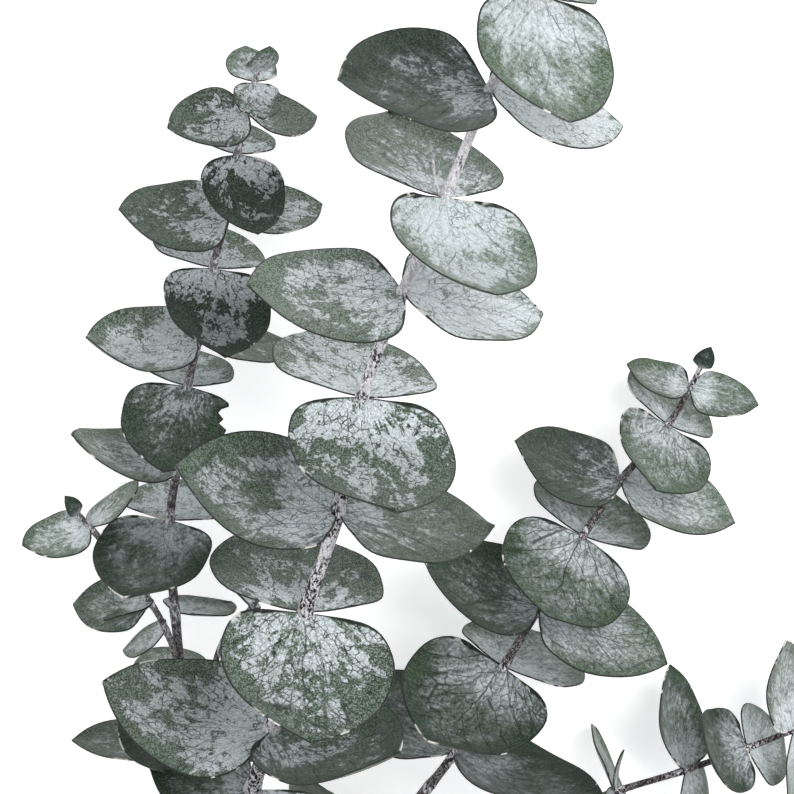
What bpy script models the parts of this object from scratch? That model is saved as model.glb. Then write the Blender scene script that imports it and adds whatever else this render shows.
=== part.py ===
"""A cut branch of silver dollar eucalyptus, lying on a surface.

+Y runs from the cut end to the tips, +Z up from the surface, +X to the right.
The branch forks: a thick leader carries two sprays, and those carry smaller
shoots. Leaves sit in opposite pairs without stalks, each pair turned a quarter
round the stem from the last.

Places along the stems and leaf tips are read by eye in the photograph, as
(across, down) in its pixels, and are carried along the line of sight to their
real height above the surface. Lengths, widths, heights and radii are real
sizes in millimetres.
"""

import math

import bmesh
import bpy
from mathutils import Matrix, Vector

MM = 0.001

# Driving dimensions, in millimetres
BLADE_THICKNESS = 0.75
JOINT_GAP = 0.3
ROOT_OFFSET = 0.3
BUD_SINK = 1.5
RESTING_POINT = "m12"
PRESS = 6.0
CUP = 0.08
FAR_CUP = 0.5
FAR_SAG = 0.2
SAG = 0.11

# The photograph as a view on the branch
PIXEL_SIZE = 0.28
PHOTO_MIDDLE = 397.0
VIEW_TILT = math.radians(26.0)
VIEW_DISTANCE = 1500.0
VIEW_HEIGHT = 75.0

# The middle of the branch's box, seen from above, before it is moved to the origin
BOX_MIDDLE = (16.0, -49.0)

# Blade outline: how far along each row of the blade lies, and its half width there
BLADE_ROWS = ((0.0, 0.60), (0.20, 0.96), (0.48, 0.98), (0.78, 0.70), (1.0, 0.0))
BLADE_COLUMNS = 4
BASE_ROUNDING = 0.07

# Stem points, from the lower end to the tip: (across, down, height, radius)
LEADER_STEM = {
    "cut": (185, 1080, 2.7, 2.7),
    "m12": (196, 1020, 15, 2.7),
    "m11": (208, 960, 29, 2.6),
    "m10": (226, 890, 46, 2.5),
    "m9": (252, 790, 63, 2.4),
    "m8": (272, 728, 72, 2.3),
    "m7": (305, 612, 85, 2.1),
    "m6": (338, 512, 92, 1.9),
    "m5": (362, 397, 97, 1.7),
    "m4": (403, 292, 101, 1.6),
    "m3": (445, 197, 104, 1.5),
    "m2": (490, 90, 107, 1.4),
    "m1": (537, -5, 109, 1.3),
    "m0": (563, -70, 110, 1.1),
    "top": (580, -115, 111, 0.9),
    "bud": (590, -145, 112, 0.7),
}
LEFT_STEM = {
    "fork": (222, 906, 44, 1.6),
    "l13": (213, 840, 38, 1.6),
    "l12": (196, 742, 36, 1.5),
    "l11": (184, 685, 36, 1.5),
    "l10": (175, 612, 36, 1.4),
    "l9": (170, 520, 36, 1.3),
    "l8": (180, 452, 36, 1.3),
    "l7": (188, 386, 36, 1.2),
    "l6": (198, 341, 35, 1.2),
    "l5": (213, 268, 33, 1.15),
    "l4": (228, 211, 33, 1.1),
    "l3": (237, 154, 33, 1.0),
    "l2": (248, 113, 34, 0.95),
    "l1": (255, 82, 35, 0.85),
    "bud": (259, 68, 36, 0.7),
}
RIGHT_STEM = {
    "fork": (211, 948, 31, 1.7),
    "r10": (300, 905, 29, 1.7),
    "r9": (370, 850, 31, 1.6),
    "r8": (430, 785, 34, 1.5),
    "r7": (455, 752, 35, 1.5),
    "r6": (504, 667, 34, 1.35),
    "r5": (540, 606, 34, 1.3),
    "r4": (583, 536, 31, 1.2),
    "r3": (621, 480, 28, 1.15),
    "r2": (668, 425, 25, 1.05),
    "r1": (690, 388, 25, 0.9),
    "bud": (702, 364, 26, 0.75),
}
LOW_STEM = {
    "fork": (352, 866, 30, 1.3),
    "k5": (400, 870, 29, 1.3),
    "k4": (480, 846, 28, 1.2),
    "k3": (615, 792, 28, 1.1),
    "k2": (686, 770, 29, 1.05),
    "k1": (747, 748, 29, 1.0),
    "k0": (794, 730, 30, 0.9),
    "top": (840, 712, 31, 0.8),
    "bud": (860, 704, 32, 0.7),
}
SHOOT_STEM = {
    "fork": (182, 676, 36, 1.1),
    "a3": (166, 630, 40, 1.0),
    "a2": (150, 602, 42, 1.0),
    "a1": (90, 527, 38, 0.9),
    "bud": (76, 511, 37.5, 0.7),
}
BACK_STEM = {
    "fork": (195, 738, 36, 1.0),
    "c3": (211, 680, 29, 1.0),
    "c2": (224, 640, 28, 0.9),
    "c1": (252, 607, 24, 0.8),
    "bud": (268, 588, 22, 0.7),
}

# Leaves: (stem point, tip across, tip down, length, width, towards, roll). towards is 1 for a leaf
# that comes out of the photograph and -1 for one that goes into it. roll is in degrees.
LEADER_LEAVES = (
    ("top", 560, -150, 13, 8, 1, 0),
    ("top", 612, -135, 12, 8, -1, 0),
    ("m0", 470, -98, 31, 30, 1, 0),
    ("m0", 655, -45, 29, 28, -1, 0),
    ("m1", 570, 122, 41, 42, 1, 0),
    ("m1", 520, -60, 39, 38, -1, 0),
    ("m2", 338, 79, 44, 44, 1, -5),
    ("m2", 623, 126, 40, 40, -1, 0),
    ("m3", 500, 295, 43, 43, 1, 0),
    ("m3", 387, 112, 42, 46, -1, 0),
    ("m4", 247, 285, 45, 44, 1, 0),
    ("m4", 543, 314, 42, 42, -1, 0),
    ("m5", 396, 512, 46, 48, 1, 0),
    ("m5", 339, 330, 44, 47, -1, 0),
    ("m6", 175, 466, 48, 47, 1, -6),
    ("m6", 494, 526, 45, 44, -1, -5),
    ("m7", 311, 743, 46, 50, 1, 0),
    ("m7", 281, 527, 43, 51, -1, 0),
    ("m8", 103, 682, 50, 47, 1, 0),
    ("m8", 400, 752, 45, 45, 1, 0),
    ("m9", 300, 905, 44, 45, 1, 0),
    ("m9", 150, 768, 30, 36, -1, 0),
    ("m10", 368, 905, 44, 43, 1, 0),
    ("m12", 70, 1036, 43, 40, -1, -60),
    ("m12", 312, 1058, 42, 39, -1, 62),
)
LEFT_LEAVES = (
    ("l1", 263, 119, 14, 14, 1, 0),
    ("bud", 270, 46, 10, 9, 1, 0),
    ("l1", 246, 46, 14, 15, -1, 0),
    ("l2", 168, 128, 24, 24, 1, -9),
    ("l2", 317, 116, 21, 22, -1, 4),
    ("l3", 258, 234, 27, 25, 1, 0),
    ("l3", 228, 120, 22, 24, -1, 0),
    ("l4", 119, 209, 32, 31, 1, -13),
    ("l4", 322, 204, 29, 28, -1, 6),
    ("l5", 225, 357, 32, 32, 1, 0),
    ("l5", 202, 221, 29, 33, -1, 0),
    ("l6", 86, 337, 33, 34, 1, -10),
    ("l6", 292, 342, 31, 30, -1, 0),
    ("l7", 163, 472, 34, 33, 1, 0),
    ("l7", 186, 346, 30, 27, -1, 0),
    ("l8", 72, 434, 34, 31, 1, -2),
    ("l8", 268, 478, 32, 31, -1, 0),
    ("l9", 124, 598, 36, 34, 1, 0),
    ("l9", 190, 478, 36, 31, -1, 0),
    ("l10", 232, 602, 25, 20, -1, 0),
    ("l11", 165, 772, 36, 36, 1, 0),
    ("l11", 152, 648, 32, 22, -1, 0),
    ("l12", 72, 740, 36, 30, -1, 0),
    ("l12", 308, 735, 34, 30, -1, 0),
)
RIGHT_LEAVES = (
    ("bud", 711, 347, 8, 6, 1, 0),
    ("r1", 627, 364, 20, 18, 1, -7),
    ("r1", 758, 405, 20, 19, -1, 16),
    ("r2", 656, 490, 29, 32, 1, 0),
    ("r2", 672, 374, 26, 31, -1, 0),
    ("r3", 515, 441, 34, 34, 1, -20),
    ("r3", 735, 523, 36, 34, -1, 20),
    ("r4", 548, 616, 38, 41, 1, 0),
    ("r4", 602, 484, 33, 38, -1, -6),
    ("r5", 424, 560, 38, 38, 1, -18),
    ("r5", 667, 664, 41, 39, -1, 18),
    ("r6", 427, 741, 42, 44, 1, 0),
    ("r6", 553, 636, 33, 40, -1, -9),
    ("r7", 364, 672, 42, 40, -1, -22),
    ("r7", 604, 800, 47, 44, 1, 0),
    ("r9", 300, 775, 38, 36, -1, 0),
)
LOW_LEAVES = (
    ("top", 870, 676, 12, 9, 1, 0),
    ("top", 862, 735, 12, 9, -1, 0),
    ("k0", 786, 640, 29, 26, 1, -22),
    ("k0", 800, 800, 27, 25, -1, 22),
    ("k1", 707, 749, 27, 27, 1, 0),
    ("k1", 784, 738, 27, 26, -1, 0),
    ("k2", 670, 665, 31, 29, 1, -18),
    ("k2", 705, 850, 29, 28, -1, 18),
    ("k3", 630, 872, 27, 26, 1, 0),
    ("k3", 595, 727, 28, 24, -1, 0),
    ("k3", 624, 750, 13, 8, 1, 0),
    ("k4", 470, 930, 33, 31, 1, 0),
    ("bud", 870, 698, 7, 5, 1, 0),
)
SHOOT_LEAVES = (
    ("bud", 65, 496, 8, 5, 1, 0),
    ("a1", 22, 545, 21, 19, 1, -36),
    ("a1", 138, 480, 20, 17, -1, 10),
    ("a2", 104, 620, 17, 14, 1, 0),
    ("a2", 73, 604, 24, 22, -1, -20),
    ("a3", 123, 650, 18, 14, -1, 0),
)
BACK_LEAVES = (
    ("c1", 300, 640, 20, 18, 1, 0),
    ("c1", 222, 570, 18, 16, -1, 0),
    ("bud", 276, 580, 7, 5, 1, 0),
)

LEAF_COLOUR = (0.115, 0.155, 0.125, 1.0)


def clear_scene():
    """Remove every object that the file starts with."""
    for item in list(bpy.data.objects):
        bpy.data.objects.remove(item, do_unlink=True)


def make_material(name, colour, roughness):
    """A plain finish in one colour."""
    finish = bpy.data.materials.new(name)
    finish.use_nodes = True
    shader = finish.node_tree.nodes["Principled BSDF"]
    shader.inputs["Base Color"].default_value = colour
    shader.inputs["Roughness"].default_value = roughness
    shader.inputs["Metallic"].default_value = 0.0
    return finish


def view_frame():
    """The eye, and the unit vectors up the photograph and towards the eye."""
    towards = Vector((0.0, math.sin(VIEW_TILT), math.cos(VIEW_TILT)))
    up = Vector((0.0, math.cos(VIEW_TILT), -math.sin(VIEW_TILT)))
    eye = Vector((0.0, 0.0, VIEW_HEIGHT)) + VIEW_DISTANCE * towards
    return eye, up, towards


def sight_line(across, down):
    """The eye, and the unit vector from it through a point of the photograph."""
    eye, up, _ = view_frame()
    target = Vector((0.0, 0.0, VIEW_HEIGHT))
    target += Vector(((across - PHOTO_MIDDLE) * PIXEL_SIZE, 0.0, 0.0))
    target += (PHOTO_MIDDLE - down) * PIXEL_SIZE * up
    return eye, (target - eye).normalized()


def at_height(across, down, height):
    """The point at a height above the surface that the photograph shows at (across, down)."""
    eye, way = sight_line(across, down)
    return eye + way * ((height - eye.z) / way.z)


def at_reach(across, down, start, reach, towards):
    """The point seen at (across, down) that lies reach from start, on the side nearer or farther."""
    eye, way = sight_line(across, down)
    middle = way.dot(start - eye)
    offside = (eye + way * middle - start).length
    depth = math.sqrt(max(reach * reach - offside * offside, 0.0))
    tip = eye + way * (middle - towards * depth)
    if tip.z < BLADE_THICKNESS / 2:
        tip = at_height(across, down, BLADE_THICKNESS / 2)
    return tip


def stem_places(stem):
    """The stem's points in the branch's frame."""
    return {name: at_height(across, down, height) for name, (across, down, height, _) in stem.items()}


def stem_direction(places, name):
    """The unit vector along the stem at one of its points."""
    names = list(places)
    at = names.index(name)
    before = places[names[max(at - 1, 0)]]
    after = places[names[min(at + 1, len(names) - 1)]]
    return (after - before).normalized()


def link(item, collection):
    """Put an object in one collection."""
    collection.objects.link(item)
    return item


def make_stem(name, stem, sides, extra, collection):
    """A tapering round stem along a smooth curve, as a closed mesh. extra is added to its radius."""
    curve = bpy.data.curves.new(name, "CURVE")
    curve.dimensions = "3D"
    curve.bevel_depth = 1.0 * MM
    curve.bevel_resolution = sides // 2 - 2
    curve.use_fill_caps = True
    curve.resolution_u = 3
    spline = curve.splines.new("BEZIER")
    spline.bezier_points.add(len(stem) - 1)
    origin = Vector((BOX_MIDDLE[0], BOX_MIDDLE[1], 0.0))
    for point, (across, down, height, radius) in zip(spline.bezier_points, stem.values()):
        point.co = (at_height(across, down, height) - origin) * MM
        point.radius = radius + extra
        point.handle_left_type = "AUTO"
        point.handle_right_type = "AUTO"
    wire = link(bpy.data.objects.new(name + "_curve", curve), collection)
    bpy.context.view_layer.update()
    evaluated = wire.evaluated_get(bpy.context.evaluated_depsgraph_get())
    mesh = bpy.data.meshes.new_from_object(evaluated)
    bm = bmesh.new()
    bm.from_mesh(mesh)
    bmesh.ops.remove_doubles(bm, verts=bm.verts, dist=0.00001)
    bmesh.ops.recalc_face_normals(bm, faces=bm.faces)
    bm.to_mesh(mesh)
    bm.free()
    made = link(bpy.data.objects.new(name, mesh), collection)
    made.matrix_world = wire.matrix_world
    bpy.data.objects.remove(wire, do_unlink=True)
    return made


def blade_point(row, column, leaf_length, leaf_width, cup, sag):
    """One point of a flat grid, shaped as the blade: along, across and lift, in millimetres."""
    along, half = BLADE_ROWS[row]
    side = 2.0 * column / BLADE_COLUMNS - 1.0
    rounding = BASE_ROUNDING * side * side * (1.0 - along) ** 4
    across = side * half * leaf_width / 2
    lift = cup * leaf_width * side * side * half - sag * leaf_length * 4 * along * (1 - along)
    return leaf_length * (along + rounding), across, lift


def make_leaf(name, root, tip, stem_way, leaf_width, towards, roll, turn, offset, press, collection):
    """A thin cupped blade from its root on the stem to its tip, its upper face to the stem's tip."""
    axis = (tip - root).normalized()
    normal = (stem_way - axis * stem_way.dot(axis)).normalized()
    normal = Matrix.Rotation(math.radians(roll), 3, axis) @ normal
    side = normal.cross(axis)
    start = root + axis * offset
    leaf_length = (tip - start).length
    straight = towards < 0 and press == 0.0
    cup = CUP * (1.0 + 0.6 * math.sin(2.4 * turn)) * (FAR_CUP if straight else 1.0)
    sag = SAG * (1.0 + 0.3 * math.sin(1.7 * turn + 1.0)) * (FAR_SAG if straight else 1.0)
    rows = len(BLADE_ROWS)
    bm = bmesh.new()
    bmesh.ops.create_grid(bm, x_segments=BLADE_COLUMNS, y_segments=rows - 1, size=1.0)
    origin = Vector((BOX_MIDDLE[0], BOX_MIDDLE[1], 0.0))
    for vert in bm.verts:
        column = round((vert.co.x + 1.0) * BLADE_COLUMNS / 2)
        row = round((vert.co.y + 1.0) * (rows - 1) / 2)
        along, across, lift = blade_point(row, column, leaf_length, leaf_width, cup, sag)
        place = start + axis * along + side * across + normal * lift
        place.z -= press * BLADE_ROWS[row][0]
        place.z = max(place.z, BLADE_THICKNESS / 2)
        vert.co = (place - origin) * MM
    bmesh.ops.remove_doubles(bm, verts=bm.verts, dist=0.00001)
    bmesh.ops.triangulate(bm, faces=bm.faces)
    mesh = bpy.data.meshes.new(name)
    bm.to_mesh(mesh)
    bm.free()
    leaf = link(bpy.data.objects.new(name, mesh), collection)
    thicken = leaf.modifiers.new("blade", "SOLIDIFY")
    thicken.thickness = BLADE_THICKNESS * MM
    thicken.offset = 0.0
    return leaf


def apply_modifiers(item):
    """Bake an object's modifiers into a mesh of its own."""
    bpy.context.view_layer.update()
    evaluated = item.evaluated_get(bpy.context.evaluated_depsgraph_get())
    mesh = bpy.data.meshes.new_from_object(evaluated)
    item.modifiers.clear()
    item.data = mesh


def add_leaves(body, stem, leaves):
    """Fuse a spray's leaves to its stem."""
    places = stem_places(stem)
    blades = bpy.data.collections.new(body.name + "_blades")
    bpy.context.scene.collection.children.link(blades)
    for turn, (point, across, down, reach, leaf_width, towards, roll) in enumerate(leaves):
        root = places[point]
        tip = at_reach(across, down, root, reach, towards)
        way = stem_direction(places, point)
        offset = -BUD_SINK if point == "bud" else ROOT_OFFSET
        press = PRESS if point == RESTING_POINT else 0.0
        name = f"{body.name}_{turn}"
        make_leaf(name, root, tip, way, leaf_width, towards, roll, turn, offset, press, blades)
    join = body.modifiers.new("leaves", "BOOLEAN")
    join.operation = "UNION"
    join.operand_type = "COLLECTION"
    join.collection = blades
    join.solver = "EXACT"
    apply_modifiers(body)
    for blade in list(blades.objects):
        bpy.data.objects.remove(blade, do_unlink=True)
    bpy.data.collections.remove(blades)


def clear_joint(body, parent, cutters):
    """Cut the lower end of a side stem to sit against its parent stem, with a fine gap."""
    parent_stem, _, sides, _ = SPRAYS[parent]
    cutter = make_stem(parent + "_room_for_" + body.name, parent_stem, sides, JOINT_GAP, cutters)
    cutter.hide_render = True
    cutter.display_type = "WIRE"
    cut = body.modifiers.new("joint", "BOOLEAN")
    cut.operation = "DIFFERENCE"
    cut.object = cutter
    cut.solver = "EXACT"
    apply_modifiers(body)


def finish_spray(body, leaf_finish):
    """Give a spray its material and smooth faces."""
    body.data.materials.clear()
    body.data.materials.append(leaf_finish)
    body.data.shade_smooth()
    body.data.set_sharp_from_angle(angle=math.radians(40.0))


# Each spray: its stem, its leaves, the sides of its stem and the spray that it grows from
SPRAYS = {
    "leader": (LEADER_STEM, LEADER_LEAVES, 8, None),
    "left_spray": (LEFT_STEM, LEFT_LEAVES, 6, "leader"),
    "right_spray": (RIGHT_STEM, RIGHT_LEAVES, 6, "leader"),
    "low_right_spray": (LOW_STEM, LOW_LEAVES, 6, "right_spray"),
    "left_shoot": (SHOOT_STEM, SHOOT_LEAVES, 6, "left_spray"),
    "back_shoot": (BACK_STEM, BACK_LEAVES, 6, "left_spray"),
}

clear_scene()
branch = bpy.data.collections.new("eucalyptus_branch")
cutters = bpy.data.collections.new("cutters")
bpy.context.scene.collection.children.link(branch)
bpy.context.scene.collection.children.link(cutters)
leaf_finish = make_material("leaf", LEAF_COLOUR, 0.55)
for name, (stem, leaves, sides, parent) in SPRAYS.items():
    spray = make_stem(name, stem, sides, 0.0, branch)
    add_leaves(spray, stem, leaves)
    if parent is not None:
        clear_joint(spray, parent, cutters)
    finish_spray(spray, leaf_finish)
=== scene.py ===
"""A cut branch of silver dollar eucalyptus, lying on a pale table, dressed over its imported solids."""

import math

import bpy
import numpy as np
from mathutils import Matrix, Vector


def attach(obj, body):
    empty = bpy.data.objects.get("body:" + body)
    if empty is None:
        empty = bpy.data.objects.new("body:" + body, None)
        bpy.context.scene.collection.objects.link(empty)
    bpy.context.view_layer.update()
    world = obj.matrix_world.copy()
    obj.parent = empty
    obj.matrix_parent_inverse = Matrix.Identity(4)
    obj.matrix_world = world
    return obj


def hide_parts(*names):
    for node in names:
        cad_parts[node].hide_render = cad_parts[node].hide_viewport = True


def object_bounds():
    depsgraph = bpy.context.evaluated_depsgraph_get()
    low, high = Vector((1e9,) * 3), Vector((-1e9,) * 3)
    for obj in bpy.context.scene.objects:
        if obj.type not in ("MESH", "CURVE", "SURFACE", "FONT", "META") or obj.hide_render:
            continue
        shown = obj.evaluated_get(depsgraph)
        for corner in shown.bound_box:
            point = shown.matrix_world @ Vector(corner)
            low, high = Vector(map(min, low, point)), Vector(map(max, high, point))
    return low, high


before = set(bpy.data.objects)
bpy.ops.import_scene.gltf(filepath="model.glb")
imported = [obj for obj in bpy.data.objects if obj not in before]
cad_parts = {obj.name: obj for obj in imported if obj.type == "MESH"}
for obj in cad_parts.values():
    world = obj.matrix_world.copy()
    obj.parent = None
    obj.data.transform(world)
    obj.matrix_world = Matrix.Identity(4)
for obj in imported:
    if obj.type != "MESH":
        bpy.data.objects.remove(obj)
solid_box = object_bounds()
bpy.ops.object.select_all(action="DESELECT")


# The view. The photograph looks down on the branch, from over its tips, through a long lens.
# Every place along a stem and every leaf tip below is read in that view, in its pixels, and
# is carried along the line of sight to its real height.
MM = 0.001
VIEW_TILT = math.radians(26.0)
VIEW_MIDDLE = Vector((-16.0, 49.0, 75.0)) * MM
VIEW_DISTANCE = 1500.0 * MM
PIXEL = 0.28 * MM
PHOTO_SIZE = 794
SENSOR_WIDTH = 36.0
towards_eye = Vector((0.0, math.sin(VIEW_TILT), math.cos(VIEW_TILT)))
up_the_view = Vector((0.0, math.cos(VIEW_TILT), -math.sin(VIEW_TILT)))
eye = VIEW_MIDDLE + VIEW_DISTANCE * towards_eye


def sight_line(across, down):
    """The unit vector from the eye through a pixel of the view."""
    half = PHOTO_SIZE / 2
    sideways = Vector(((across - half) * PIXEL, 0.0, 0.0))
    target = VIEW_MIDDLE + sideways + (half - down) * PIXEL * up_the_view
    return (target - eye).normalized()


def at_height(across, down, height):
    """The point seen at a pixel, at a height above the table."""
    way = sight_line(across, down)
    return eye + way * ((height - eye.z) / way.z)


bpy.ops.object.camera_add(location=eye, rotation=(-VIEW_TILT, 0.0, 0.0))
camera = bpy.context.object
camera.name = "camera"
camera.data.sensor_width = SENSOR_WIDTH
camera.data.lens = SENSOR_WIDTH * VIEW_DISTANCE / (PHOTO_SIZE * PIXEL)
camera.data.clip_start = 0.05
camera.data.clip_end = 50.0
bpy.context.scene.camera = camera


# The table and the light. A plain white top, lit as in a bright studio: a large soft window
# high on the right, beyond the tips, a weaker one on the left, and pale walls all round.
TABLE_SIZE = 8.0
bpy.ops.object.select_all(action="DESELECT")
bpy.ops.mesh.primitive_plane_add(size=TABLE_SIZE, location=(0.0, 0.0, 0.0))
table_top = bpy.context.object
table_top.name = "table_top"
table_paint = bpy.data.materials.new("table_paint")
table_paint.use_nodes = True
table_shader = table_paint.node_tree.nodes["Principled BSDF"]
table_shader.inputs["Base Color"].default_value = (0.93, 0.93, 0.93, 1.0)
table_shader.inputs["Roughness"].default_value = 0.9
table_shader.inputs["Specular IOR Level"].default_value = 0.1
table_shader.inputs["Emission Color"].default_value = (1.0, 1.0, 1.0, 1.0)
table_shader.inputs["Emission Strength"].default_value = 0.42
table_paint.cycles.emission_sampling = "NONE"
table_top.data.materials.append(table_paint)


def add_window(name, place, size, power):
    """A square soft light that looks at the middle of the branch."""
    bpy.ops.object.light_add(type="AREA", location=place)
    window = bpy.context.object
    window.name = name
    window.data.shape = "SQUARE"
    window.data.size = size
    window.data.energy = power
    window.rotation_euler = (VIEW_MIDDLE - Vector(place)).to_track_quat("-Z", "Y").to_euler()


add_window("window_right", (0.85, 1.35, 1.8), 1.1, 44.0)
add_window("window_left", (-1.5, 0.2, 1.3), 1.2, 9.0)
walls = bpy.data.worlds.new("walls")
bpy.context.scene.world = walls
walls.use_nodes = True
walls.node_tree.nodes["Background"].inputs["Color"].default_value = (0.96, 0.98, 1.0, 1.0)
walls.node_tree.nodes["Background"].inputs["Strength"].default_value = 0.73
bpy.context.scene.view_settings.view_transform = "Standard"


# The wax. Eucalyptus stems and leaves wear a white bloom of wax. It is thick in patches and
# rubbed through along fine crooked lines and specks, down to the green or the bark. This is
# the one effect that the leaf and bark finishes share.
def add_socket(tree, name, kind, value, output=False):
    """A named input or output of a node group."""
    socket = tree.interface.new_socket(
        name=name, in_out="OUTPUT" if output else "INPUT", socket_type=kind
    )
    if value is not None:
        socket.default_value = value


def feed(tree, socket, value):
    """Link a node's socket to another socket, or set it to a number or a colour."""
    if isinstance(value, bpy.types.NodeSocket):
        tree.links.new(value, socket)
    else:
        socket.default_value = value


def work_out(tree, operation, first, second=0.0, clamp=False):
    """One sum on two values. Returns the result's socket."""
    node = tree.nodes.new("ShaderNodeMath")
    node.operation = operation
    node.use_clamp = clamp
    feed(tree, node.inputs[0], first)
    feed(tree, node.inputs[1], second)
    return node.outputs[0]


def ease(tree, value, low, high, out_low=0.0, out_high=1.0):
    """Carry a value smoothly from one range to another."""
    node = tree.nodes.new("ShaderNodeMapRange")
    node.interpolation_type = "SMOOTHSTEP"
    feed(tree, node.inputs["Value"], value)
    feed(tree, node.inputs["From Min"], low)
    feed(tree, node.inputs["From Max"], high)
    feed(tree, node.inputs["To Min"], out_low)
    feed(tree, node.inputs["To Max"], out_high)
    return node.outputs["Result"]


def noise(tree, vector, scale, detail, roughness=0.5, distortion=0.0):
    """A cloud pattern, from 0 to 1. The scale is in clouds per metre."""
    node = tree.nodes.new("ShaderNodeTexNoise")
    feed(tree, node.inputs["Vector"], vector)
    node.inputs["Scale"].default_value = scale
    node.inputs["Detail"].default_value = detail
    node.inputs["Roughness"].default_value = roughness
    node.inputs["Distortion"].default_value = distortion
    return node.outputs["Fac"]


def blend_colours(tree, share, first, second):
    """Mix two colours by a share."""
    node = tree.nodes.new("ShaderNodeMix")
    node.data_type = "RGBA"
    feed(tree, node.inputs[0], share)
    feed(tree, node.inputs[6], first)
    feed(tree, node.inputs[7], second)
    return node.outputs[2]


def crooked_lines(tree, vector, scale, thickness):
    """Thin crooked lines: 0 on a line and 1 off it."""
    cloud = noise(tree, vector, scale, 3.0, 0.62, 0.5)
    off_level = work_out(tree, "ABSOLUTE", work_out(tree, "SUBTRACT", cloud, 0.5))
    return ease(tree, off_level, thickness * 0.25, thickness)


def mix_values(tree, share, first, second):
    """Mix two values by a share."""
    node = tree.nodes.new("ShaderNodeMix")
    feed(tree, node.inputs[0], share)
    feed(tree, node.inputs[2], first)
    feed(tree, node.inputs[3], second)
    return node.outputs[0]


wax = bpy.data.node_groups.new("wax_bloom", "ShaderNodeTree")
add_socket(wax, "Vector", "NodeSocketVector", None)
add_socket(wax, "Amount", "NodeSocketFloat", 0.5)
add_socket(wax, "Sharpness", "NodeSocketFloat", 0.5)
add_socket(wax, "Scratches", "NodeSocketFloat", 0.8)
add_socket(wax, "Stipple", "NodeSocketFloat", 1.0)
add_socket(wax, "Wax", "NodeSocketFloat", None, output=True)
add_socket(wax, "Lines", "NodeSocketFloat", None, output=True)
add_socket(wax, "Net", "NodeSocketFloat", None, output=True)
add_socket(wax, "Cloud", "NodeSocketFloat", None, output=True)
wax_in = wax.nodes.new("NodeGroupInput")
wax_out = wax.nodes.new("NodeGroupOutput")
where = wax_in.outputs["Vector"]
ruffle = wax.nodes.new("ShaderNodeTexNoise")
wax.links.new(where, ruffle.inputs["Vector"])
ruffle.inputs["Scale"].default_value = 330.0
ruffle.inputs["Detail"].default_value = 1.0
push = wax.nodes.new("ShaderNodeVectorMath")
push.operation = "MULTIPLY_ADD"
wax.links.new(ruffle.outputs["Color"], push.inputs[0])
push.inputs[1].default_value = (0.0022, 0.0022, 0.0022)
wax.links.new(where, push.inputs[2])
cells = wax.nodes.new("ShaderNodeTexVoronoi")
cells.feature = "DISTANCE_TO_EDGE"
cells.inputs["Scale"].default_value = 400.0
wax.links.new(push.outputs["Vector"], cells.inputs["Vector"])

# Thick patches with sharp or soft edges, and a fine grain all over, deepest where they are sharp
cloud = noise(wax, where, 100.0, 4.0, 0.54, 0.7)
cloud_rise = work_out(wax, "SUBTRACT", cloud, 0.5)
specks = work_out(wax, "SUBTRACT", noise(wax, where, 800.0, 1.0, 0.7), 0.5)
specks = work_out(wax, "MULTIPLY", specks, 0.6)
patch_strength = ease(wax, wax_in.outputs["Sharpness"], 0.0, 1.0, 0.45, 2.2)
grain = ease(wax, noise(wax, where, 2100.0, 0.0), 0.44, 0.60)
patches = work_out(wax, "MULTIPLY", cloud_rise, patch_strength)
level = work_out(wax, "ADD", work_out(wax, "ADD", patches, specks), wax_in.outputs["Amount"])
soft_cover = ease(wax, level, 0.05, 0.95)
sharp_cover = ease(wax, level, 0.46, 0.54)
cover = mix_values(wax, wax_in.outputs["Sharpness"], soft_cover, sharp_cover)
grain_depth = ease(wax, wax_in.outputs["Sharpness"], 0.0, 1.0, 0.16, 0.36)
stipple = work_out(wax, "MULTIPLY", grain_depth, wax_in.outputs["Stipple"])
thin_grain = work_out(wax, "MULTIPLY", grain, stipple)
pits = work_out(wax, "MULTIPLY", grain_depth, work_out(wax, "SUBTRACT", 1.0, grain))
thick_grain = work_out(wax, "SUBTRACT", 1.0, pits)
cover = mix_values(wax, cover, thin_grain, thick_grain)

# Crooked lines rubbed through it, broken up by the ruffle
line_edges = ease(wax, cells.outputs["Distance"], 0.02, 0.065)
scribbles = crooked_lines(wax, where, 210.0, 0.014)
lines = work_out(wax, "SUBTRACT", 1.0, work_out(wax, "MULTIPLY", line_edges, scribbles))
fading = ease(wax, work_out(wax, "ADD", ruffle.outputs["Fac"], cloud_rise), 0.49, 0.62)
line_depth = ease(wax, wax_in.outputs["Sharpness"], 0.0, 1.0, 0.45, 1.0)
line_strength = work_out(wax, "MULTIPLY", wax_in.outputs["Scratches"], line_depth)
rubbed = work_out(wax, "MULTIPLY", work_out(wax, "MULTIPLY", lines, fading), line_strength)
left_on = work_out(wax, "MULTIPLY", cover, work_out(wax, "SUBTRACT", 1.0, rubbed), clamp=True)
wax.links.new(left_on, wax_out.inputs["Wax"])
wax.links.new(rubbed, wax_out.inputs["Lines"])
wax.links.new(ease(wax, cells.outputs["Distance"], 0.02, 0.12, 1.0, 0.0), wax_out.inputs["Net"])
wax.links.new(cloud, wax_out.inputs["Cloud"])


# The leaf finish. A leathery grey-green blade under its wax, whitest at its base and along
# its midrib, with dark side veins, a fine dark net between them and a thin dark edge that
# carries painted pale glints of light here and there.
LEAF_GREEN = (0.054, 0.096, 0.042, 1.0)
LEAF_DARK_AND_SHADED = (0.011, 0.022, 0.014, 1.0)
LEAF_WAX = (0.615, 0.66, 0.685, 1.0)
LEAF_VEIN = (0.014, 0.022, 0.015, 1.0)
LEAF_EDGE = (0.017, 0.023, 0.016, 1.0)
LEAF_EDGE_PAINTED_GLINT = (0.55, 0.55, 0.50, 1.0)
VEIN_PAIRS = 5.5

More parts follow.
